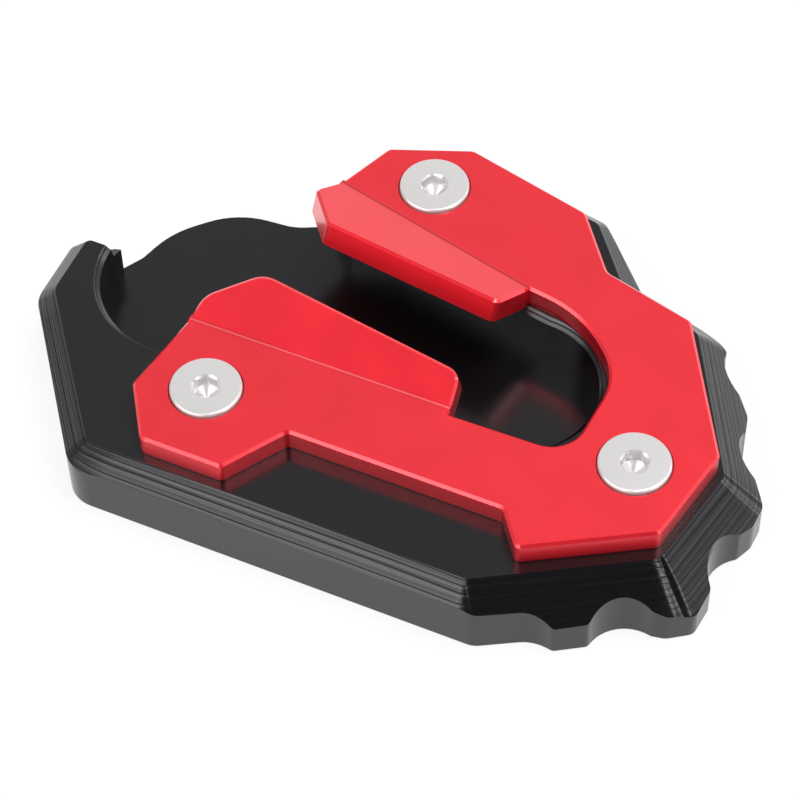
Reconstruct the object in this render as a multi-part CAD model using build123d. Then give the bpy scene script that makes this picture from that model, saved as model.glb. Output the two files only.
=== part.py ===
from build123d import *
import os
from math import atan2, cos, degrees, hypot, radians, sin, tan

# Kickstand foot enlarger: a black anodised base plate with a pocket for the stand's foot,
# a red anodised clamp plate over it, and three flat socket-head screws that hold them.
#
# Plan positions are measured from the axis of the screw at the right-hand end (the datum).
# X runs along the straight front edge and Y to the rear, and Z is up from the ground face.
# All lengths are millimetres. The last block moves every piece to the middle of the base.

# Heights
BASE_THICKNESS = 13.4        # ground face to deck
FLOOR_THICKNESS = 3.2        # ground face to the floor of the foot pocket
PLATE_THICKNESS = 4.2        # clamp plate, flat part and flaps alike
DECK_Z = BASE_THICKNESS
PLATE_TOP_Z = DECK_Z + PLATE_THICKNESS

# Sloped perimeter, milled below the edge of the deck
BEVEL_ANGLE = 45.0           # of the slope, and of the break along the bottom edge
SLOPE_DEPTH = 8.0            # from the deck down to where the slope has left every side
LEFT_SLOPE = 3.2             # how far the deck's edge stands in from the ground outline
FRONT_SLOPE = 3.45
REAR_SLOPE = 2.5
TIP_SLOPE = 2.6

# Edge breaks
POCKET_CHAMFER = 1.0         # chamfer round the top of the foot pocket
PLATE_CHAMFER = 0.45         # top edges of the clamp plate
FOOT_CHAMFER = 0.4           # bottom edge of the base

# Screws, M6 with a flat round head
SCREW_PLACES = {"right": (0.0, 0.0), "left": (-69.6, -13.6), "rear": (-53.0, 41.2)}
HEAD_DIAMETER = 12.0
HEAD_HEIGHT = 2.3
HEAD_PROUD = 0.7             # head top above the clamp plate
HEAD_ROUND = 0.45
SHANK_DIAMETER = 6.0
SHANK_LENGTH = 14.0
SHANK_TIP_CHAMFER = 0.8
HEX_SIDES = 6
HEX_ACROSS_FLATS = 4.1
HEX_DEPTH = 2.2
DRILL_ANGLE = 118.0          # cone at the bottom of the socket
THREAD_CLEARANCE = 0.05      # radial, plain shank in the tapped hole
HOLE_CHAMFER = 0.5           # tapped hole at the ground face
PLATE_HOLE_DIAMETER = 6.6
COUNTERBORE_CLEARANCE = 0.25  # radial, round the head

# Flaps of the clamp plate: each rises from its crease towards the slot
FLAP_TILT = 22.0
CREASE_FILLET = 2.5
CREASE_NEAR = 0.01           # an edge whose middle is this near to a crease's is the crease

# Scallops cut out of the grip end, between its lobes
SCALLOP_RADIUS = 6.85
SCALLOP_CENTRES = [
    (9.2, -25.3),
    (22.2, -5.0),
    (18.8, 18.6),
    (10.6, 33.9),
]
LOBE_ROUND = 1.2

# Outermost lines of the base at the ground
LEFT_X = -107.7
FRONT_Y = -31.75
RIGHT_X = 19.8
REAR_Y = 54.9
HOOK_TIP_Y = 12.7

# Outline of the base at the ground, before the scallops: x, y, corner radius
BASE_OUTLINE = [
    (LEFT_X, -2.9, 5.0),
    (-86.3, FRONT_Y, 6.0),
    (-14.4, FRONT_Y, 4.0),
    (-6.0, -27.0, SCALLOP_RADIUS),
    (-2.4, -27.5, LOBE_ROUND),
    (4.0, -23.5, 0.0),
    (9.0, -19.0, 0.0),
    (13.2, -18.2, 3.0),
    (17.0, -15.6, 2.0),
    (17.6, -9.5, 0.0),
    (18.0, 0.0, 0.0),
    (19.6, 3.6, 3.0),
    (RIGHT_X, 7.9, 2.5),
    (16.4, 12.6, 0.0),
    (12.4, 19.5, 0.0),
    (11.2, 24.2, 3.0),
    (7.4, 28.6, 0.0),
    (4.0, 34.3, 0.0),
    (1.8, 35.3, 2.0),
    (-13.4, 39.0, 5.0),
    (-25.0, 50.5, 3.0),
    (-50.6, REAR_Y, 4.0),
    (-66.4, 49.0, 4.0),
    (-71.6, 36.9, 5.0),
    (-77.0, 34.2, 10.0),
    (-87.8, 33.4, 15.0),
    (-96.5, 24.5, 17.0),
    (-98.5, 17.4, 3.0),
    (-101.3, HOOK_TIP_Y, 0.5),
    (LEFT_X, HOOK_TIP_Y, 4.0),
]

# Outline of the deck, where the slope begins: x, y, corner radius
DECK_LEFT_X = LEFT_X + LEFT_SLOPE
DECK_FRONT_Y = FRONT_Y + FRONT_SLOPE
DECK_TIP_Y = HOOK_TIP_Y - TIP_SLOPE
DECK_OUTLINE = [
    (DECK_LEFT_X, -1.8, 3.0),
    (-84.3, DECK_FRONT_Y, 3.0),
    (-17.0, DECK_FRONT_Y, 1.5),
    (9.45, -12.6, 1.5),
    (13.2, 6.3, 2.0),
    (-1.2, 32.3, 2.0),
    (-14.9, 34.9, 3.0),
    (-25.3, 48.0, 2.0),
    (-50.0, REAR_Y - REAR_SLOPE, 3.0),
    (-64.2, 46.9, 3.0),
    (-69.0, 36.2, 2.0),
    (-92.0, DECK_TIP_Y, 0.0),
    (DECK_LEFT_X, DECK_TIP_Y, 1.0),
]

# Foot pocket: the hook's arc at the left, the round end under the slot at the right
HOOK_CENTRE = (-84.0, 10.0)
HOOK_RADIUS = 16.1
POCKET_END_CENTRE = (-25.0, 11.0)
POCKET_END_RADIUS = 13.7
POCKET_REAR_LEFT = (-65.0, 32.0)
MOUTH_X = LEFT_X - 5.0       # the open mouth runs out past the left side
MOUTH_Y = HOOK_TIP_Y + 0.2   # and starts just clear of the hook's tip
POCKET_MOUTH = [(-76.0, 44.0), (MOUTH_X, 40.0), (MOUTH_X, MOUTH_Y)]

# Clamp plate, flat part: x, y, corner radius; the creases close its slot side
PLATE_OUTLINE = [
    (-78.7, -1.5, 0.0),
    (-81.3, -17.1, 2.0),
    (-75.0, -26.8, 1.5),
    (-60.5, -26.8, 1.2),
    (-53.6, -16.2, 1.2),
    (-16.0, -16.2, 1.2),
    (-11.2, -22.5, 1.2),
    (8.5, -10.9, 1.5),
    (11.9, 6.9, 1.5),
    (-2.2, 31.2, 1.5),
    (-18.8, 35.5, 2.0),
    (-27.0, 46.2, 2.0),
    (-50.2, 51.8, 2.0),
    (-63.9, 46.4, 1.5),
    (-68.2, 36.0, 0.0),
]
SLOT_OUTLINE = [
    (-29.4, 26.8, 0.0),
    (-19.2, 25.3, 21.0),
    (-9.3, 15.7, 11.5),
    (-10.5, -2.1, 5.7),
    (-31.4, -2.5, 0.6),
    (-31.4, -1.5, 0.0),
]
FRONT_CREASE = ((-78.7, -1.5), (-31.4, -1.5))
REAR_CREASE = ((-68.2, 36.0), (-29.4, 26.8))

# Free corners of each flap in its own plane: along the crease, across it, corner radius
FRONT_FLAP = [(46.6, 6.3, 2.8), (8.9, 11.4, 5.0), (0.6, 4.6, 5.0)]
REAR_FLAP = [(-1.3, -5.7, 1.5), (6.6, -12.9, 1.5), (38.9, -8.0, 1.5)]


def rounded_face(corners):
    """Flat face from corner points, each with its own rounding radius (0 leaves it sharp)."""
    count = len(corners)
    starts = []
    middles = []
    stops = []
    for i, (x, y, radius) in enumerate(corners):
        corner = Vector(x, y)
        if radius == 0:
            starts.append(corner)
            middles.append(None)
            stops.append(corner)
            continue
        before = Vector(*corners[i - 1][:2])
        after = Vector(*corners[(i + 1) % count][:2])
        u = (before - corner).normalized()
        v = (after - corner).normalized()
        half = radians(u.get_angle(v) / 2)
        starts.append(corner + u * (radius / tan(half)))
        middles.append(corner + (u + v).normalized() * (radius / sin(half) - radius))
        stops.append(corner + v * (radius / tan(half)))
    edges = []
    for i in range(count):
        if middles[i] is not None:
            edges.append(ThreePointArc(starts[i], middles[i], stops[i]))
        edges.append(Line(stops[i], starts[(i + 1) % count]))
    face = Face(Wire(edges))
    return face if face.normal_at().Z > 0 else -face


def block(face, bottom, top):
    """Straight block over a flat face between two heights."""
    return extrude(Pos(0, 0, bottom) * face, top - bottom, dir=(0, 0, 1))


def disc(centre, radius):
    """Flat round face at a plan position."""
    return Pos(*centre) * Face(Wire(Edge.make_circle(radius)))


def base_outline():
    """Ground outline of the base, scallops cut and the horns between them rounded."""
    outline = Sketch() + rounded_face(BASE_OUTLINE)
    for centre in SCALLOP_CENTRES:
        outline -= disc(centre, SCALLOP_RADIUS)
    return offset(offset(outline, -LOBE_ROUND), LOBE_ROUND)


def pocket_outline():
    """Plan of the foot pocket: hook arc, straight front, round end, and the open mouth."""
    hook = disc(HOOK_CENTRE, HOOK_RADIUS)
    end = disc(POCKET_END_CENTRE, POCKET_END_RADIUS)
    channel = make_hull(hook.edges() + end.edges())
    rear_right = (POCKET_END_CENTRE[0], POCKET_END_CENTRE[1] + POCKET_END_RADIUS)
    tip = (HOOK_CENTRE[0] - HOOK_RADIUS, MOUTH_Y)
    mouth = [rear_right, POCKET_REAR_LEFT, *POCKET_MOUTH, tip, POCKET_END_CENTRE]
    return Sketch() + channel + Face(Wire.make_polygon([Vector(*p) for p in mouth]))


def make_base_plate():
    """Base plate: sloped perimeter, foot pocket with its hook, three tapped holes."""
    outline = base_outline()
    deck = rounded_face(DECK_OUTLINE)
    slope = extrude(
        Pos(0, 0, DECK_Z) * deck, SLOPE_DEPTH, dir=(0, 0, -1), taper=-BEVEL_ANGLE
    )
    slope += block(outline, 0, DECK_Z - SLOPE_DEPTH)
    body = block(outline, FOOT_CHAMFER, DECK_Z) & slope
    foot = offset(outline, -FOOT_CHAMFER)
    body += extrude(foot, FOOT_CHAMFER, dir=(0, 0, 1), taper=-BEVEL_ANGLE)
    pocket = pocket_outline()
    body -= block(pocket, FLOOR_THICKNESS, DECK_Z)
    rim_z = DECK_Z - POCKET_CHAMFER
    rim = block(offset(pocket, POCKET_CHAMFER), rim_z, DECK_Z + POCKET_CHAMFER)
    body -= chamfer(rim.faces().sort_by(Axis.Z)[0].edges(), POCKET_CHAMFER)
    hole_radius = SHANK_DIAMETER / 2 + THREAD_CLEARANCE
    for place in SCREW_PLACES.values():
        body -= block(disc(place, hole_radius), 0, DECK_Z)
        mouth = Cone(hole_radius + HOLE_CHAMFER, hole_radius, HOLE_CHAMFER)
        body -= Pos(*place, HOLE_CHAMFER / 2) * mouth
    return body


def heading(crease):
    """Direction of a crease in plan, as an angle from X."""
    (x0, y0), (x1, y1) = crease
    return degrees(atan2(y1 - y0, x1 - x0))


def crease_length(crease):
    """Length of a crease in plan."""
    (x0, y0), (x1, y1) = crease
    return hypot(x1 - x0, y1 - y0)


def chamfer_top(slab, creases=()):
    """Chamfer the top edges of a slab, apart from those that end at a crease."""
    top = slab.faces().sort_by(Axis.Z)[-1]
    free = [
        edge
        for edge in top.edges()
        if not any((edge.center() - Vector(*middle)).length < CREASE_NEAR for middle in creases)
    ]
    return chamfer(free, PLATE_CHAMFER)


def crease_middle(crease):
    """Middle of a crease on the top face of the plate."""
    (x0, y0), (x1, y1) = crease
    return ((x0 + x1) / 2, (y0 + y1) / 2, PLATE_TOP_Z)


def flap(crease, corners, side):
    """Tilted flap from its crease; side is +1 where the slot lies to the left of the crease.

    The flap and a strip of the flat part both pass the crease by the lap, so the two meet
    in a mitre and the plate keeps its thickness round the bend.
    """
    length = crease_length(crease)
    lap = PLATE_THICKNESS * tan(radians(FLAP_TILT / 2))
    ends = [(0.0, 0.0, 0.0), (length, 0.0, 0.0)]
    sheet = block(rounded_face(ends[::side] + corners), -PLATE_THICKNESS, 0)
    top_edges = sheet.faces().sort_by(Axis.Z)[-1].edges()
    crease_edge = top_edges.sort_by(lambda edge: abs(edge.center().Y))[0]
    sheet = chamfer([edge for edge in top_edges if edge != crease_edge], PLATE_CHAMFER)
    tail = Pos(length / 2, -side * lap / 2, -PLATE_THICKNESS / 2) * Box(
        length, lap, PLATE_THICKNESS
    )
    strip = Pos(length / 2, side * lap / 2, -PLATE_THICKNESS / 2) * Box(
        length, lap, PLATE_THICKNESS
    )
    tilted = Rot(side * FLAP_TILT, 0, 0) * (sheet + tail) + strip + crease_fill(length, side)
    x0, y0 = crease[0]
    return Pos(x0, y0, PLATE_TOP_Z) * Rot(0, 0, heading(crease)) * tilted


def crease_fill(length, side):
    """Concave fillet that fills the corner along a crease."""
    half = radians(FLAP_TILT / 2)
    reach = CREASE_FILLET * tan(half)
    start = Vector(0, -side * reach, 0)
    stop = Vector(0, side * reach * cos(2 * half), reach * sin(2 * half))
    middle = Vector(0, -side * reach, CREASE_FILLET) + Vector(
        0, side * sin(half), -cos(half)
    ) * CREASE_FILLET
    root = Vector(0, 0, -PLATE_CHAMFER)
    section = Face(Wire([ThreePointArc(start, middle, stop), Line(stop, root), Line(root, start)]))
    return extrude(section, length, dir=(1, 0, 0))


def make_clamp_plate():
    """Clamp plate: flat part, two raised flaps, screw holes with counterbores."""
    flat = block(rounded_face(PLATE_OUTLINE + SLOT_OUTLINE), DECK_Z, PLATE_TOP_Z)
    body = chamfer_top(flat, [crease_middle(FRONT_CREASE), crease_middle(REAR_CREASE)])
    body += flap(FRONT_CREASE, FRONT_FLAP, 1)
    body += flap(REAR_CREASE, REAR_FLAP, -1)
    seat_z = PLATE_TOP_Z - (HEAD_HEIGHT - HEAD_PROUD)
    for place in SCREW_PLACES.values():
        body -= block(disc(place, PLATE_HOLE_DIAMETER / 2), DECK_Z, PLATE_TOP_Z)
        seat = disc(place, HEAD_DIAMETER / 2 + COUNTERBORE_CLEARANCE)
        body -= block(seat, seat_z, PLATE_TOP_Z)
    return body


def make_clamp_screw(place):
    """One screw: flat round head with a hex socket, and a plain shank for the thread."""
    top_z = PLATE_TOP_Z + HEAD_PROUD
    head_z = top_z - HEAD_HEIGHT
    head = block(disc(place, HEAD_DIAMETER / 2), head_z, top_z)
    head = fillet(head.faces().sort_by(Axis.Z)[-1].edges(), HEAD_ROUND)
    shank = block(disc(place, SHANK_DIAMETER / 2), head_z - SHANK_LENGTH, head_z)
    shank = chamfer(shank.faces().sort_by(Axis.Z)[0].edges(), SHANK_TIP_CHAMFER)
    hex_radius = HEX_ACROSS_FLATS / 2 / cos(radians(180 / HEX_SIDES))
    socket = Pos(*place) * RegularPolygon(hex_radius, HEX_SIDES).face()
    socket = block(socket, top_z - HEX_DEPTH, top_z)
    cone_depth = HEX_ACROSS_FLATS / 2 / tan(radians(DRILL_ANGLE / 2))
    cone = Pos(*place, top_z - HEX_DEPTH - cone_depth / 2) * Cone(
        0, HEX_ACROSS_FLATS / 2, cone_depth
    )
    return head + shank - socket - cone


def make_clamp_screws():
    """The three screws, as separate solids of one node."""
    return Compound([make_clamp_screw(place).solid() for place in SCREW_PLACES.values()])


PIECES = {
    "base_plate": make_base_plate(),
    "clamp_plate": make_clamp_plate(),
    "clamp_screws": make_clamp_screws(),
}
middle = PIECES["base_plate"].bounding_box().center()
os.makedirs("parts", exist_ok=True)
for name, piece in PIECES.items():
    export_step(Pos(-middle.X, -middle.Y, 0) * piece, f"parts/{name}.step")
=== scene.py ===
# %% [markdown]
# # A kickstand foot enlarger in anodised aluminium
#
# The object is a black base plate with a milled slope round it, a red clamp plate bolted
# on top and three flat steel screws. The solid model already holds every shape with a
# size. This lesson loads it, leaves its places alone, gives the two plates the finish
# that milling, blasting and anodising leave on the real ones, and makes the screws anew
# as worked-out surfaces, because a screw's small edges are what catches the light.

# %% Load the solid model
import math

import bpy
import numpy as np
from mathutils import Matrix, Vector


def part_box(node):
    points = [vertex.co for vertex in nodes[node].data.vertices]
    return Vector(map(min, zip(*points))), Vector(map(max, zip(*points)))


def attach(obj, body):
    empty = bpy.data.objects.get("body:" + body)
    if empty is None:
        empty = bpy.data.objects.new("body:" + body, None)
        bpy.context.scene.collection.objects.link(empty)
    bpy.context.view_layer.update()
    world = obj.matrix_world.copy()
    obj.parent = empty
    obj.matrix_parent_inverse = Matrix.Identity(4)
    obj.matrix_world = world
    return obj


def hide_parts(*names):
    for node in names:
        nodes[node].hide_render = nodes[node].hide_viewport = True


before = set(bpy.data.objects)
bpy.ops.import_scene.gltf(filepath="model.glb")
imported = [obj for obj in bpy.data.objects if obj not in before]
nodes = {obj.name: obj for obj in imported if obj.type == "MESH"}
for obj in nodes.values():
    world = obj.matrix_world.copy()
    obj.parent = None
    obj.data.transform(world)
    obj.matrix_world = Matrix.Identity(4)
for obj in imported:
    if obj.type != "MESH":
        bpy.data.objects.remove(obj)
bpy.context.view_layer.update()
MM = 0.001
print("nodes:", sorted(nodes))

# %% [markdown]
# ## Where things are
#
# The solids were drawn from the axis of the right-hand screw, and the whole model was
# then moved so that the base is centred on the origin. The place of that screw is read
# back from the model, so that a plan position can be written as on the drawing.

# %% The datum and the heights
SCREW_DRAWN = {"right": (0.0, 0.0), "left": (-69.6, -13.6), "rear": (-53.0, 41.2)}
HEAD_RADIUS = 6.0 * MM
HEAD_PROUD = 0.7 * MM
screw_low, screw_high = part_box("clamp_screws")
left_screw_below = -SCREW_DRAWN["left"][1] * MM
datum = Vector((screw_high.x - HEAD_RADIUS, screw_low.y + HEAD_RADIUS + left_screw_below, 0.0))
DECK_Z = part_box("base_plate")[1].z
HEAD_TOP_Z = screw_high.z
PLATE_TOP_Z = HEAD_TOP_Z - HEAD_PROUD


def drawn(x, y, z=0.0):
    """A drawn plan position in millimetres, as a point of the model in metres."""
    return datum + Vector((x, y, z)) * MM


print("datum in mm:", [round(v / MM, 3) for v in datum])
print("deck, plate top, head top in mm:", DECK_Z / MM, PLATE_TOP_Z / MM, HEAD_TOP_Z / MM)

# %% [markdown]
# ## The camera
#
# The photograph looks down at about 53 degrees from the front right. The view was worked
# out from the three equal screw circles: a long lens, 471 mm from a point on the top of
# the clamp plate, with the camera rolled by less than two degrees.

# %% Set the camera
AIM = drawn(-39.6, -3.15, 17.6)
LOOK_IN_PLAN = Vector((-0.4305, 0.9026, 0.0)).normalized()
PITCH = math.radians(52.73)
ROLL = math.radians(-1.66)
DISTANCE = 470.9 * MM
SENSOR = 36.0
FOCAL_IN_PIXELS = 2901.0
IMAGE_WIDTH = 800.0

look = LOOK_IN_PLAN * math.cos(PITCH) + Vector((0, 0, -math.sin(PITCH)))
level_right = look.cross(Vector((0, 0, 1))).normalized()
level_up = level_right.cross(look)
right = math.cos(ROLL) * level_right + math.sin(ROLL) * level_up
up = math.cos(ROLL) * level_up - math.sin(ROLL) * level_right

camera_data = bpy.data.cameras.new("camera")
camera_data.sensor_fit = "HORIZONTAL"
camera_data.sensor_width = SENSOR
camera_data.lens = FOCAL_IN_PIXELS / IMAGE_WIDTH * SENSOR
camera_data.clip_start = 0.01
camera_data.clip_end = 20.0
camera = bpy.data.objects.new("camera", camera_data)
axes = Matrix((right, up, -look)).transposed().to_4x4()
camera.matrix_world = Matrix.Translation(AIM - look * DISTANCE) @ axes
bpy.context.scene.collection.objects.link(camera)
bpy.context.scene.camera = camera
print("lens", round(camera_data.lens, 1), "mm")
print("camera at", [round(v, 3) for v in camera.matrix_world.translation])

# %% [markdown]
# ## A small set of tools for node materials
#
# Every finish below is a node tree on Object coordinates. Object coordinates are metres
# on the model, so a scratch or a grain is given its real size. A few helpers keep the
# trees short: they add a node and set its inputs, join two sockets, stretch a value, or
# make a noise that is as long as wanted in each direction.


# %% Helpers for node trees
def new_material(name):
    """A material with an empty node tree but for its output and one Principled shader."""
    material = bpy.data.materials.new(name)
    material.use_nodes = True
    tree = material.node_tree
    tree.nodes.clear()
    output = tree.nodes.new("ShaderNodeOutputMaterial")
    shader = tree.nodes.new("ShaderNodeBsdfPrincipled")
    tree.links.new(shader.outputs["BSDF"], output.inputs["Surface"])
    return material, tree, shader


def node(tree, kind, settings=None, **inputs):
    """Add a node; settings are its attributes, inputs its named sockets."""
    made = tree.nodes.new(kind)
    for key, value in (settings or {}).items():
        setattr(made, key, value)
    for key, value in inputs.items():
        made.inputs[key.replace("_", " ")].default_value = value
    return made


def link(tree, source, target):
    """Join an output socket to an input socket."""
    tree.links.new(source, target)


def math_node(tree, operation, first, second):
    """A Math node on two values, each of them a socket or a number."""
    made = node(tree, "ShaderNodeMath", {"operation": operation})
    for place, value in enumerate((first, second)):
        if isinstance(value, (int, float)):
            made.inputs[place].default_value = value
        else:
            link(tree, value, made.inputs[place])
    return made.outputs[0]


def remap(tree, value, low, high, new_low, new_high, smooth=False):
    """Stretch a grey value from one range to another, held at the ends."""
    kind = "SMOOTHSTEP" if smooth else "LINEAR"
    made = node(tree, "ShaderNodeMapRange", {"clamp": True, "interpolation_type": kind})
    for number, amount in enumerate((low, high, new_low, new_high), start=1):
        made.inputs[number].default_value = amount
    link(tree, value, made.inputs[0])
    return made.outputs[0]


def object_coordinates(tree):
    """Object coordinates, in metres on the model."""
    return node(tree, "ShaderNodeTexCoord").outputs["Object"]


def noise(tree, coordinates, per_metre, detail=3.0, rough=0.5):
    """Noise whose features per metre are given for each axis, or once for all three."""
    if isinstance(per_metre, (int, float)):
        per_metre = (per_metre, per_metre, per_metre)
    stretch = node(tree, "ShaderNodeMapping", {"vector_type": "POINT"}, Scale=per_metre)
    link(tree, coordinates, stretch.inputs["Vector"])
    made = node(tree, "ShaderNodeTexNoise", Scale=1.0, Detail=detail, Roughness=rough)
    link(tree, stretch.outputs[0], made.inputs["Vector"])
    return made.outputs["Fac"]


def height_of(tree, coordinates):
    """The height above the ground of the shaded point, in metres."""
    split = node(tree, "ShaderNodeSeparateXYZ")
    link(tree, coordinates, split.inputs[0])
    return split.outputs["Z"]


def steepness(tree):
    """How far the surface faces up or down: 1 on a level face, 0 on a wall."""
    split = node(tree, "ShaderNodeSeparateXYZ")
    link(tree, node(tree, "ShaderNodeNewGeometry").outputs["True Normal"], split.inputs[0])
    return math_node(tree, "ABSOLUTE", split.outputs["Z"], 0.0)


def band(tree, value, low, high, edge):
    """One where a value lies between two limits, fading to zero over the edge width."""
    rise = remap(tree, value, low - edge, low, 0.0, 1.0)
    fall = remap(tree, value, high, high + edge, 1.0, 0.0)
    return math_node(tree, "MULTIPLY", rise, fall)


def bump(tree, height, shader):
    """Feed a relief's height in metres into the shader's normal."""
    made = node(tree, "ShaderNodeBump", Strength=1.0, Distance=1.0)
    link(tree, height, made.inputs["Height"])
    link(tree, made.outputs["Normal"], shader.inputs["Normal"])


print("helpers ready")

# %% [markdown]
# ## Black anodised base
#
# Black anodising is a dyed oxide a few hundredths of a millimetre thick over milled and
# lightly blasted metal. It takes in nearly all light and mirrors the rest like a satin
# varnish: sharply where something touches it and softly further off. So the colour is
# almost black, and the grey that the eye sees on the deck, the slope and the walls is
# the room. Painting those greys would look right from one side only.
#
# The slope was cut with a small ball cutter that went round at one height after another,
# so it carries fine steps that follow the height, wider near the deck. They are a relief
# on the height of the point, let in where the surface leans, and the bottom of a step is
# rougher and gives back less light. Where two facets of the slope meet at the grip end,
# the ridge was taken round by hand, so a relief lowers the surface towards it: by the
# square of what is left of a set width. The walls below were cut with the side of an end
# mill, which leaves a soft upright pattern.

# %% Sizes of the black finish
BLACK = (0.0035, 0.0035, 0.0042, 1.0)
BLACK_IOR = 1.6
BLACK_TINT = (0.97, 0.96, 1.0, 1.0)
BLACK_ROUGHNESS = (0.18, 0.23)
BLACK_PATCHES_A_METRE = 90.0
NOISE_MIDDLE = (0.3, 0.7)
SLOPE_LEANS = (0.35, 0.9)
SLOPE_LEAN_EDGE = 0.05
WALL_LEANS = (0.2, 0.3)
STEP_DOWN = 0.85 * MM
STEP_DEPTH = 0.026 * MM
CUSP_PLACE = (0.42, 0.50)
CUSP_EDGE = 0.12
WANDER_A_METRE = (12.0, 12.0, 400.0)
WANDER_TURNS = 2.2
STREAKS_A_METRE = (6.0, 6.0, 2600.0)
STREAK_MIDDLE = (0.38, 0.62)
STREAK_DEPTH = 0.026 * MM
STEP_FADE = (3.4 * MM, 2.0 * MM)
LOW_STEP_SHARE = 0.5
RIPPLES_A_METRE = (700.0, 700.0, 8.0)
WALL_RIPPLE_DEPTH = 0.006 * MM
GRAINS_A_METRE = 5000.0
GRAIN_DEPTH = 0.0006 * MM
PLAIN_GLOSS = 0.5
GROOVE_GLOSS = 0.42
FRONT_EDGE = -28.3
STREAK_GLOSS = (0.76, 1.24)
RIDGE_WIDTH = 1.7 * MM
RIDGE_TILT = 0.55
GRIP_CORNERS = [
    ((-17.0, FRONT_EDGE), (9.45, -12.6), (13.2, 6.3)),
    ((9.45, -12.6), (13.2, 6.3), (-1.2, 32.3)),
]
print("a cutter step each", STEP_DOWN / MM, "mm, ridges rounded", RIDGE_WIDTH / MM, "mm wide")


# %% Relief of a ridge and of the grain
def ridge_relief(tree, place, before, corner, after):
    """How far the surface sinks towards the ridge that starts at a corner of the deck.

    A 45 degree slope moves out by as much as it drops, so the ridge's plan direction is
    the sum of the two sides' outward normals over one plus their dot product. The relief
    is minus the tilt times the square of (width less distance) over twice the width.
    """
    before, corner, after = (drawn(*point) for point in (before, corner, after))
    sides = []
    for start, stop in ((before, corner), (corner, after)):
        way = (stop - start).normalized()
        sides.append(Vector((way.y, -way.x, 0.0)))
    plan = (sides[0] + sides[1]) / (1.0 + sides[0].dot(sides[1]))
    ridge = Vector((plan.x, plan.y, -1.0)).normalized()
    from_corner = node(tree, "ShaderNodeVectorMath", {"operation": "SUBTRACT"})
    from_corner.inputs[1].default_value = (corner.x, corner.y, DECK_Z)
    link(tree, place, from_corner.inputs[0])
    across = node(tree, "ShaderNodeVectorMath", {"operation": "CROSS_PRODUCT"})
    across.inputs[1].default_value = ridge
    link(tree, from_corner.outputs[0], across.inputs[0])
    distance = node(tree, "ShaderNodeVectorMath", {"operation": "LENGTH"})
    link(tree, across.outputs[0], distance.inputs[0])
    left = remap(tree, distance.outputs["Value"], 0.0, RIDGE_WIDTH, RIDGE_WIDTH, 0.0)
    square = math_node(tree, "MULTIPLY", left, left)
    return math_node(tree, "MULTIPLY", square, -RIDGE_TILT / (2.0 * RIDGE_WIDTH))


def grain_relief(tree, place):
    """The fine grain that blasting leaves, as a height in metres."""
    grain = noise(tree, place, GRAINS_A_METRE, 2.0, 0.5)
    return math_node(tree, "MULTIPLY", grain, GRAIN_DEPTH)


# %% Material: black anodised
def black_anodised():
    """Near-black skin: cutter steps on the slope, upright ripple on walls, fine grain."""
    material, tree, shader = new_material("black_anodised")
    place = object_coordinates(tree)
    shader.inputs["Base Color"].default_value = BLACK
    shader.inputs["Metallic"].default_value = 0.0
    shader.inputs["IOR"].default_value = BLACK_IOR
    shader.inputs["Specular Tint"].default_value = BLACK_TINT
    gloss = noise(tree, place, BLACK_PATCHES_A_METRE, 4.0, 0.6)
    link(tree, remap(tree, gloss, *NOISE_MIDDLE, *BLACK_ROUGHNESS), shader.inputs["Roughness"])
    lean = steepness(tree)
    on_slope = band(tree, lean, *SLOPE_LEANS, SLOPE_LEAN_EDGE)
    on_wall = remap(tree, lean, *WALL_LEANS, 1.0, 0.0)
    height = height_of(tree, place)
    wander = noise(tree, place, WANDER_A_METRE, 1.0, 0.5)
    turns = math_node(tree, "DIVIDE", math_node(tree, "SUBTRACT", DECK_Z, height), STEP_DOWN)
    turns = math_node(tree, "ADD", turns, math_node(tree, "MULTIPLY", wander, WANDER_TURNS))
    cusp = band(tree, math_node(tree, "FRACT", turns, 0.0), *CUSP_PLACE, CUSP_EDGE)
    streaks = noise(tree, place, STREAKS_A_METRE, 3.0, 0.6)
    cusps = math_node(tree, "MULTIPLY", cusp, -STEP_DEPTH)
    steps = math_node(tree, "ADD", cusps, math_node(tree, "MULTIPLY", streaks, STREAK_DEPTH))
    far, near = (DECK_Z - below for below in STEP_FADE)
    fade = remap(tree, height, far, near, LOW_STEP_SHARE, 1.0)
    steps = math_node(tree, "MULTIPLY", steps, fade)
    for points in GRIP_CORNERS:
        steps = math_node(tree, "ADD", steps, ridge_relief(tree, place, *points))
    ripple = noise(tree, place, RIPPLES_A_METRE, 2.0, 0.5)
    ripple = math_node(tree, "MULTIPLY", ripple, WALL_RIPPLE_DEPTH)
    relief = math_node(tree, "MULTIPLY", steps, on_slope)
    relief = math_node(tree, "ADD", relief, math_node(tree, "MULTIPLY", ripple, on_wall))
    bump(tree, math_node(tree, "ADD", relief, grain_relief(tree, place)), shader)
    groove = remap(tree, cusp, 0.0, 1.0, 1.0, GROOVE_GLOSS)
    worn = remap(tree, streaks, *STREAK_MIDDLE, *STREAK_GLOSS)
    change = math_node(tree, "SUBTRACT", math_node(tree, "MULTIPLY", groove, worn), 1.0)
    shine = math_node(tree, "ADD", math_node(tree, "MULTIPLY", change, on_slope), 1.0)
    shine = math_node(tree, "MULTIPLY", shine, PLAIN_GLOSS)
    link(tree, shine, shader.inputs["Specular IOR Level"])
    return material
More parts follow.
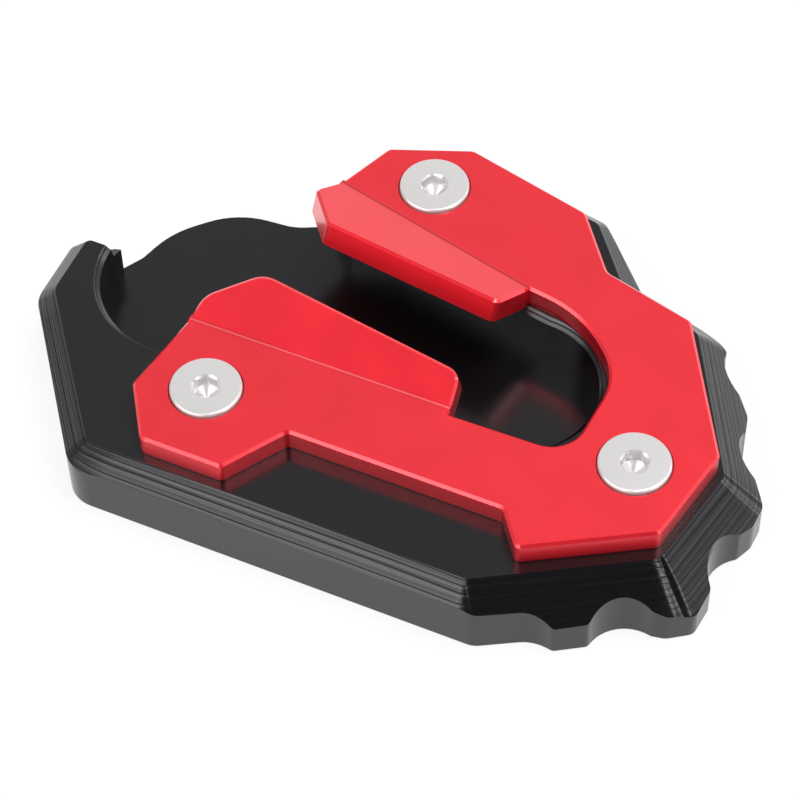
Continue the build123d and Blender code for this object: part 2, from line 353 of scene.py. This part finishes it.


# %% [markdown]
# ## Red anodised clamp plate
#
# Under the red dye the metal still shines, so the finish is part coloured mirror and part
# matt dye, under the clear skin of the oxide. The share of metal decides how deep the
# walls look: the more of it, the more a wall copies the dark deck in front of it. The
# lowest half millimetre of each wall carries painted shade, a near-black colour where the
# wall meets the deck, so the colour falls off there with the height. The two flaps were bent
# up along their creases, and each crease carries a thin painted line: a painted highlight at
# the front flap and painted shade at the rear, standing in for what the rounded bends mirror.
# Each line is the set of points near the crease in plan.

# %% Sizes of the red finish
RED = (0.95, 0.021, 0.038, 1.0)
RED_METAL_SHARE = 0.66
RED_ROUGHNESS = (0.30, 0.36)
RED_PATCHES_A_METRE = 120.0
COAT_ROUGHNESS = 0.14
COAT_IOR = 1.5
# Painted shade: a near-black colour put on the lowest part of each wall, where it meets the deck.
FOOT_SHADE_COLOUR = (0.015, 0.001, 0.001, 1.0)
FOOT_SHADE_HEIGHT = 0.5 * MM
FRONT_CREASE = ((-78.7, -1.5), (-31.4, -1.5))
REAR_CREASE = ((-68.2, 36.0), (-29.4, 26.8))
# Painted highlight and painted shade: the pale front line stands in for light mirrored in the
# front crease's rounding, the dark rear line for the dark mirrored in the rear one.
FRONT_CREASE_HIGHLIGHT = (1.0, 0.16, 0.18, 1.0)
REAR_CREASE_SHADE = (0.40, 0.004, 0.008, 1.0)
LINE_HALF_WIDTH = 0.10 * MM
LINE_EDGE = 0.08 * MM
LINE_END = 0.3 * MM
print("crease lines", 2 * LINE_HALF_WIDTH / MM, "mm wide, dark foot", FOOT_SHADE_HEIGHT / MM, "mm high")


# %% Where a crease is, and how a colour goes over to another
def near_crease(tree, place, crease):
    """One within half a line's width of a crease, between its two ends, and zero away."""
    start, stop = (drawn(*end) for end in crease)
    along = (stop - start).normalized()
    across = Vector((-along.y, along.x, 0.0))
    values = []
    for way in (along, across):
        made = node(tree, "ShaderNodeVectorMath", {"operation": "DOT_PRODUCT"})
        made.inputs[1].default_value = way
        link(tree, place, made.inputs[0])
        values.append(math_node(tree, "SUBTRACT", made.outputs["Value"], start.dot(way)))
    length = (stop - start).length
    inside = band(tree, values[0], LINE_END, length - LINE_END, LINE_END)
    on_line = band(tree, values[1], -LINE_HALF_WIDTH, LINE_HALF_WIDTH, LINE_EDGE)
    return math_node(tree, "MULTIPLY", inside, on_line)


def tinted(tree, share, base, tint):
    """A colour that goes over to a tint where the share is one."""
    made = node(tree, "ShaderNodeMix", {"data_type": "RGBA"})
    link(tree, share, made.inputs[0])
    if isinstance(base, tuple):
        made.inputs[6].default_value = base
    else:
        link(tree, base, made.inputs[6])
    made.inputs[7].default_value = tint
    return made.outputs[2]


# %% Material: red anodised
def red_anodised():
    """Part coloured metal, part dye under a clear skin, with painted shade at the foot of its
    walls and painted lines at the creases.
    """
    material, tree, shader = new_material("red_anodised")
    place = object_coordinates(tree)
    # Painted shade at the foot of each wall: the colour goes over to near black below this height
    # above the deck.
    foot_shade = remap(tree, height_of(tree, place), DECK_Z, DECK_Z + FOOT_SHADE_HEIGHT, 1.0, 0.0, True)
    colour = tinted(tree, foot_shade, RED, FOOT_SHADE_COLOUR)
    # Painted highlight along the front crease and painted shade along the rear crease.
    colour = tinted(tree, near_crease(tree, place, FRONT_CREASE), colour, FRONT_CREASE_HIGHLIGHT)
    colour = tinted(tree, near_crease(tree, place, REAR_CREASE), colour, REAR_CREASE_SHADE)
    link(tree, colour, shader.inputs["Base Color"])
    shader.inputs["Metallic"].default_value = RED_METAL_SHARE
    shader.inputs["Coat Weight"].default_value = 1.0
    shader.inputs["Coat Roughness"].default_value = COAT_ROUGHNESS
    shader.inputs["Coat IOR"].default_value = COAT_IOR
    gloss = noise(tree, place, RED_PATCHES_A_METRE, 3.0, 0.5)
    link(tree, remap(tree, gloss, *NOISE_MIDDLE, *RED_ROUGHNESS), shader.inputs["Roughness"])
    bump(tree, grain_relief(tree, place), shader)
    return material


# %% Give the two plates their finish
for name, finish in (("base_plate", black_anodised()), ("clamp_plate", red_anodised())):
    nodes[name].material_slots[0].material = finish
    print(name, "has", len(nodes[name].data.polygons), "faces and the finish", finish.name)

# %% [markdown]
# ## The screws
#
# Each is a flat round-headed screw with a hexagon socket. The head is turned, its rim is
# rounded over, the socket is pressed and its mouth is countersunk, and the thread is
# rolled. A stack of cylinders would miss the rim and the countersink, so the screw is one
# closed surface of two parameters: the angle round the axis, and a step along a profile
# that runs from the point at the bottom of the socket, up its wall, over the head and
# down the shank. At each step a share says how far the ring is a hexagon and how far a
# circle, and the thread adds a ridge that climbs one pitch a turn.

# %% Sizes of the screw
HEAD_HEIGHT = 2.3 * MM
HEAD_ROUND = 0.45 * MM
HEAD_UNDER_BREAK = 0.15 * MM
SOCKET_APOTHEM = 2.05 * MM
SOCKET_DEPTH = 2.2 * MM
DRILL_HALF_ANGLE = math.radians(59.0)
SOCKET_POINT_DEPTH = SOCKET_DEPTH + SOCKET_APOTHEM / math.tan(DRILL_HALF_ANGLE)
SOCKET_CORNER_RADIUS = SOCKET_APOTHEM / math.cos(math.radians(30.0))
SOCKET_MOUTH_RADIUS = SOCKET_CORNER_RADIUS + 0.05 * MM
SOCKET_MOUTH_DEPTH = 0.28 * MM
CONE_SHARE = 0.95
POINT_SHARE = 0.02
SHANK_RADIUS = 3.0 * MM
SHANK_LENGTH = 14.0 * MM
TIP_CHAMFER = 0.8 * MM
THREAD_PITCH = 1.0 * MM
THREAD_DEPTH = 0.5 * MM
THREAD_START = 0.2 * MM
RUN_OUT = 1.0 * MM
ROWS_A_PITCH = 10
ROUND_ROWS = 9
COLUMNS = 96
SHARP_EDGE = math.radians(28.0)
SCREW_TURN = {"right": 25.5, "left": -8.0, "rear": 8.0}
print("socket point", round(SOCKET_POINT_DEPTH / MM, 2), "mm below the head's top")


# %% The screw's profile
def screw_profile():
    """Rings of the screw: hexagon share, radius and depth below the head's top.

    The rim is a quarter circle of the rounding radius: radius = head radius less the
    rounding, plus the rounding times the sine of the angle, and depth = the rounding
    times one less the cosine.
    """
    socket = [
        (0.0, POINT_SHARE * SOCKET_APOTHEM, SOCKET_POINT_DEPTH),
        (0.0, CONE_SHARE * SOCKET_APOTHEM, SOCKET_DEPTH),
        (1.0, SOCKET_APOTHEM, SOCKET_DEPTH),
        (1.0, SOCKET_APOTHEM, SOCKET_MOUTH_DEPTH),
        (0.0, SOCKET_MOUTH_RADIUS, 0.0),
    ]
    turn = np.linspace(0.0, np.pi / 2, ROUND_ROWS)
    rim = np.stack([
        np.zeros(ROUND_ROWS),
        HEAD_RADIUS - HEAD_ROUND * (1.0 - np.sin(turn)),
        HEAD_ROUND * (1.0 - np.cos(turn)),
    ], axis=1)
    under = [
        (0.0, HEAD_RADIUS, HEAD_HEIGHT - HEAD_UNDER_BREAK),
        (0.0, HEAD_RADIUS - HEAD_UNDER_BREAK, HEAD_HEIGHT),
        (0.0, SHANK_RADIUS, HEAD_HEIGHT),
    ]
    rows = int(ROWS_A_PITCH * (SHANK_LENGTH - TIP_CHAMFER) / THREAD_PITCH)
    down = HEAD_HEIGHT + np.linspace(THREAD_START, SHANK_LENGTH - TIP_CHAMFER, rows)
    shank = np.stack([np.zeros(rows), np.full(rows, SHANK_RADIUS), down], axis=1)
    end = HEAD_HEIGHT + SHANK_LENGTH
    tip = [(0.0, SHANK_RADIUS - TIP_CHAMFER, end), (0.0, POINT_SHARE * SHANK_RADIUS, end)]
    return np.concatenate([socket, rim, under, shank, tip])


profile = screw_profile()
print("screw profile has", len(profile), "rings")


# %% The screw's surface
def screw_points(axis, turned):
    """Vertices of one screw about its axis, turned by an angle in degrees.

    The radius at an angle is the ring's radius times one where the ring is a circle, and
    one over the cosine of the angle from the nearest flat's middle where it is a hexagon.
    The thread takes away its depth times a triangle wave of height / pitch + turns, and
    fades in over the run-out below the head and out over the last half pitch.
    """
    share, radius, depth = (column[:, None] for column in profile.T)
    angle = np.linspace(0.0, 2 * np.pi, COLUMNS, endpoint=False)[None, :]
    from_flat = np.mod(angle, np.pi / 3) - np.pi / 6
    hexagon = 1.0 / np.cos(from_flat)
    reach = radius * (1.0 - share + share * hexagon)
    along = depth - HEAD_HEIGHT
    phase = depth / THREAD_PITCH + angle / (2 * np.pi)
    ridge = np.abs(2 * np.mod(phase, 1.0) - 1.0)
    fade_in = np.clip(along / RUN_OUT, 0.0, 1.0)
    fade_out = np.clip((SHANK_LENGTH - TIP_CHAMFER - along) / (THREAD_PITCH / 2), 0.0, 1.0)
    on_shank = (radius == SHANK_RADIUS) & (along > 0.0)
    reach = reach - THREAD_DEPTH * ridge * fade_in * fade_out * on_shank
    wheel = angle + math.radians(turned)
    x = axis.x + reach * np.cos(wheel)
    y = axis.y + reach * np.sin(wheel)
    z = np.broadcast_to(HEAD_TOP_Z - depth, x.shape)
    return np.stack([x, y, z], axis=2).reshape(-1, 3)


def screw_faces(first):
    """Quads between neighbouring rings, and a many-sided face to close each end."""
    rings = len(profile)
    row = np.arange(rings - 1)[:, None] * COLUMNS
    column = np.arange(COLUMNS)[None, :]
    after = np.roll(np.arange(COLUMNS), -1)[None, :]
    quads = np.stack([
        row + column,
        row + COLUMNS + column,
        row + COLUMNS + after,
        row + after,
    ], axis=2).reshape(-1, 4) + first
    start = np.arange(COLUMNS) + first
    stop = (rings - 1) * COLUMNS + np.arange(COLUMNS)[::-1] + first
    return quads.tolist() + [start.tolist(), stop.tolist()]


# %% Put the three screws into one mesh
points = []
faces = []
for name, (x, y) in SCREW_DRAWN.items():
    faces += screw_faces(len(points) * len(profile) * COLUMNS)
    points.append(screw_points(drawn(x, y), SCREW_TURN[name]))
screw_mesh = bpy.data.meshes.new("screws")
screw_mesh.from_pydata(np.concatenate(points).tolist(), [], faces)
screw_mesh.polygons.foreach_set("use_smooth", np.ones(len(faces), dtype=bool))
screw_mesh.set_sharp_from_angle(angle=SHARP_EDGE)
screws = bpy.data.objects.new("screws", screw_mesh)
bpy.context.scene.collection.objects.link(screws)
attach(screws, "root")
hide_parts("clamp_screws")
print("screws:", len(screw_mesh.vertices), "points and", len(faces), "faces")

# %% [markdown]
# ## Steel finish
#
# The heads are plated and satin, pale grey with hardly a ring left from the lathe, and
# only their rounded rims shine. So the finish is half metal and half a pale matt skin,
# with very faint rings in its gloss. Each screw needs rings about its own axis: the tree
# measures the distance to all three axes and keeps the smallest.

# %% Material: satin steel
STEEL = (0.73, 0.71, 0.71, 1.0)
STEEL_METAL_SHARE = 0.55
STEEL_ROUGHNESS = (0.277, 0.283)
RINGS_A_METRE = 2200.0


def satin_steel():
    """Pale satin metal with faint turning rings round each of the three screw axes."""
    material, tree, shader = new_material("satin_steel")
    place = object_coordinates(tree)
    shader.inputs["Base Color"].default_value = STEEL
    shader.inputs["Metallic"].default_value = STEEL_METAL_SHARE
    flat = node(tree, "ShaderNodeVectorMath", {"operation": "MULTIPLY"})
    flat.inputs[1].default_value = (1.0, 1.0, 0.0)
    link(tree, place, flat.inputs[0])
    nearest = None
    for x, y in SCREW_DRAWN.values():
        axis = drawn(x, y)
        away = node(tree, "ShaderNodeVectorMath", {"operation": "DISTANCE"})
        away.inputs[1].default_value = (axis.x, axis.y, 0.0)
        link(tree, flat.outputs[0], away.inputs[0])
        distance = away.outputs["Value"]
        nearest = distance if nearest is None else math_node(tree, "MINIMUM", nearest, distance)
    ring = node(tree, "ShaderNodeCombineXYZ")
    link(tree, nearest, ring.inputs["X"])
    rings = noise(tree, ring.outputs[0], RINGS_A_METRE, 2.0, 0.5)
    link(tree, remap(tree, rings, *NOISE_MIDDLE, *STEEL_ROUGHNESS), shader.inputs["Roughness"])
    return material


screw_mesh.materials.append(satin_steel())
print("finish:", screw_mesh.materials[0].name)

# %% [markdown]
# ## Floor
#
# The photograph is a cut-out on white. The floor is a plain pale surface that the camera
# and mirror rays see mostly as white light of strength one, with a share left for its
# lit colour, so the object's soft shadow stays on it. All other rays meet a pale grey
# matt floor.

# %% Floor
FLOOR_HALF = 3.0
FLOOR_GREY = (0.86, 0.86, 0.86, 1.0)
FLOOR_ROUGHNESS = 0.9
FLOOR_GLOSS = 0.1
WHITE = (1.0, 1.0, 1.0, 1.0)
WHITE_SHARE = 0.88


def white_floor():
    """A matt floor that the camera sees as white where no shadow falls."""
    material, tree, shader = new_material("white_floor")
    shader.inputs["Base Color"].default_value = FLOOR_GREY
    shader.inputs["Roughness"].default_value = FLOOR_ROUGHNESS
    shader.inputs["Specular IOR Level"].default_value = FLOOR_GLOSS
    output = tree.nodes["Material Output"]
    glow = node(tree, "ShaderNodeEmission", Color=WHITE, Strength=1.0)
    ray = node(tree, "ShaderNodeLightPath").outputs
    seen = math_node(tree, "MAXIMUM", ray["Is Camera Ray"], ray["Is Glossy Ray"])
    seen = math_node(tree, "MAXIMUM", seen, ray["Is Transmission Ray"])
    mix = node(tree, "ShaderNodeMixShader")
    link(tree, math_node(tree, "MULTIPLY", seen, WHITE_SHARE), mix.inputs[0])
    link(tree, shader.outputs["BSDF"], mix.inputs[1])
    link(tree, glow.outputs[0], mix.inputs[2])
    link(tree, mix.outputs[0], output.inputs["Surface"])
    return material


floor_mesh = bpy.data.meshes.new("floor")
side = FLOOR_HALF
corners = [(-side, -side, 0), (side, -side, 0), (side, side, 0), (-side, side, 0)]
floor_mesh.from_pydata(corners, [], [(0, 1, 2, 3)])
floor = bpy.data.objects.new("floor", floor_mesh)
floor_mesh.materials.append(white_floor())
bpy.context.scene.collection.objects.link(floor)
print("floor", 2 * FLOOR_HALF, "m square")

# %% [markdown]
# ## The room
#
# Polished black and coloured metal show the room, so the room is what gives them form.
# A real product table stands in white paper that is brightest near the table, dimmer
# higher up, and dark round the camera. The same is written here as a brightness that
# depends on the direction: a curve over the height, a dark place on the camera's side,
# a dimmer side on the left and a brighter one on the right.

# %% World
ROOM_BY_HEIGHT = [(0.0, 0.80), (0.24, 0.80), (0.545, 0.60), (0.78, 0.47), (1.0, 0.08)]
CAMERA_SIDE = (0.45, -0.66, 0.60)
CAMERA_SIDE_EDGE = (0.72, 0.95)
CAMERA_SIDE_SHARE = 0.08
LEFT_SIDE = (-0.99, -0.01, 0.12)
LEFT_SIDE_EDGE = (0.70, 0.95)
LEFT_SIDE_SHARE = 0.5
RIGHT_SIDE = (0.875, 0.32, 0.36)
RIGHT_SIDE_EDGE = (0.80, 0.98)
RIGHT_SIDE_ADDED = 0.15

world = bpy.data.worlds.new("studio")
bpy.context.scene.world = world
world.use_nodes = True
room = world.node_tree
room.nodes.clear()
room_output = room.nodes.new("ShaderNodeOutputWorld")
direction = node(room, "ShaderNodeTexCoord").outputs["Generated"]
room_split = node(room, "ShaderNodeSeparateXYZ")
link(room, direction, room_split.inputs[0])
curve = node(room, "ShaderNodeValToRGB")
curve.color_ramp.interpolation = "EASE"
stops = curve.color_ramp.elements
while len(stops) < len(ROOM_BY_HEIGHT):
    stops.new(0.5)
for stop, (height, level) in zip(stops, ROOM_BY_HEIGHT):
    stop.position = height
    stop.color = (level, level, level, 1.0)
link(room, room_split.outputs["Z"], curve.inputs[0])


def towards(way):
    """How nearly a ray of the room runs along a direction: the cosine between the two."""
    made = node(room, "ShaderNodeVectorMath", {"operation": "DOT_PRODUCT"})
    made.inputs[1].default_value = Vector(way).normalized()
    link(room, direction, made.inputs[0])
    return made.outputs["Value"]


dark = remap(room, towards(CAMERA_SIDE), *CAMERA_SIDE_EDGE, 1.0, CAMERA_SIDE_SHARE, True)
dim = remap(room, towards(LEFT_SIDE), *LEFT_SIDE_EDGE, 1.0, LEFT_SIDE_SHARE, True)
bright = remap(room, towards(RIGHT_SIDE), *RIGHT_SIDE_EDGE, 0.0, RIGHT_SIDE_ADDED, True)
shade = math_node(room, "MULTIPLY", dark, dim)
level = math_node(room, "ADD", math_node(room, "MULTIPLY", curve.outputs[0], shade), bright)
plain = node(room, "ShaderNodeBackground", Color=WHITE)
link(room, level, plain.inputs["Strength"])
shown = node(room, "ShaderNodeBackground", Color=WHITE, Strength=1.0)
room_ray = node(room, "ShaderNodeLightPath")
room_mix = node(room, "ShaderNodeMixShader")
link(room, room_ray.outputs["Is Camera Ray"], room_mix.inputs[0])
link(room, plain.outputs[0], room_mix.inputs[1])
link(room, shown.outputs[0], room_mix.inputs[2])
link(room, room_mix.outputs[0], room_output.inputs["Surface"])
print("room levels by height:", ROOM_BY_HEIGHT)


# %% [markdown]
# ## Lamps
#
# A wide soft lamp stands at the front left. The slope, the rims and the broken edges
# mirror it to the camera, and the deck and the flat of the clamp plate don't. A second
# hangs high and a little to the right, where no large face mirrors it, and gives the
# level of the light from above. Two narrow upright strips on the right draw the bright
# fans on the slope's corners. A lamp's numbers are its azimuth and elevation in degrees,
# its distance, width and height in metres, and its watts.

# %% A lamp
def soft_lamp(name, azimuth, elevation, distance, width, height, watts):
    """An oblong area lamp that faces the object, placed by compass angle and height."""
    data = bpy.data.lights.new(name, "AREA")
    data.shape = "RECTANGLE"
    data.size = width
    data.size_y = height
    data.energy = watts
    lamp = bpy.data.objects.new(name, data)
    turn = math.radians(azimuth)
    rise = math.radians(elevation)
    in_plan = Vector((math.cos(turn), math.sin(turn), 0.0)) * math.cos(rise)
    away = in_plan + Vector((0.0, 0.0, math.sin(rise)))
    lamp.location = away * distance
    lamp.rotation_euler = (-away).to_track_quat("-Z", "Y").to_euler()
    bpy.context.scene.collection.objects.link(lamp)
    print(name, "at", [round(v, 2) for v in lamp.location], "m,", watts, "W")


# %% Set up the lamps
LAMPS = {
    "front_lamp": (-120.0, 44.0, 1.25, 1.4, 0.67, 9.0),
    "top_lamp": (20.0, 72.0, 1.25, 0.6, 0.6, 12.5),
    "right_strip": (-9.0, 32.0, 1.3, 0.2, 0.8, 1.9),
    "rear_strip": (45.0, 16.0, 1.3, 0.15, 0.6, 1.1),
}
for name, setting in LAMPS.items():
    soft_lamp(name, *setting)

bpy.context.scene.view_settings.view_transform = "Standard"

# %% Finish
bpy.context.view_layer.update()
